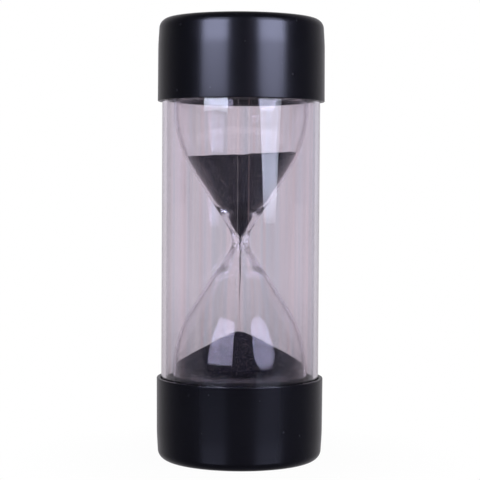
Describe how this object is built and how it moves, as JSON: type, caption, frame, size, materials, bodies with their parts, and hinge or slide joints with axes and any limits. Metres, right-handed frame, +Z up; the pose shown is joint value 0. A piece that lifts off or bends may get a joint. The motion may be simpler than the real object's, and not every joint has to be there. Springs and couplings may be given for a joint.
{
  "type": "sand timer",
  "caption": "Sand timer: a blown glass bulb with running black sand, guarded by a clear tube between rounded black end caps; the top cap pulls off.",
  "frame": {"origin": "middle of the bottom cap's resting face", "axes": "+Z up along the axis of the tube, through the throat of the bulb"},
  "size_m": [0.0568, 0.0568, 0.15],
  "materials": {
    "cap_plastic": "satin",
    "clear_plastic": "gloss",
    "bulb_glass": "polished",
    "pad_foam": "matte",
    "plug_rubber": "matte",
    "black_sand": "matte"
  },
  "bodies": {
    "base": {"bottom_cap": "cap_plastic", "bottom_pad": "pad_foam", "outer_tube": "clear_plastic", "glass_bulb": "bulb_glass", "filling_plug": "plug_rubber", "sand_stream": "black_sand"},
    "cap": {"top_cap": "cap_plastic", "top_pad": "pad_foam"},
    "falling_sand": {"upper_sand": "black_sand"},
    "rising_sand": {"lower_sand": "black_sand"}
  },
  "joints": [
    {"name": "top_cap_lift", "type": "slide", "parent": "base", "child": "cap", "axis": [0, 0, 1], "range_m": [0, 0.03]},
    {"name": "sand_run", "type": "slide", "parent": "base", "child": "falling_sand", "axis": [0, 0, -1], "range_m": [0, 0.0285], "deforming": ["upper_sand", "sand_stream"]},
    {"name": "heap_rise", "type": "slide", "parent": "base", "child": "rising_sand", "axis": [0, 0, 1], "range_m": [0, 0.0067], "deforming": ["lower_sand"]}
  ],
  "couplings": [
    {"joint": "heap_rise", "follows": "sand_run", "ratio": 0.235}
  ]
}
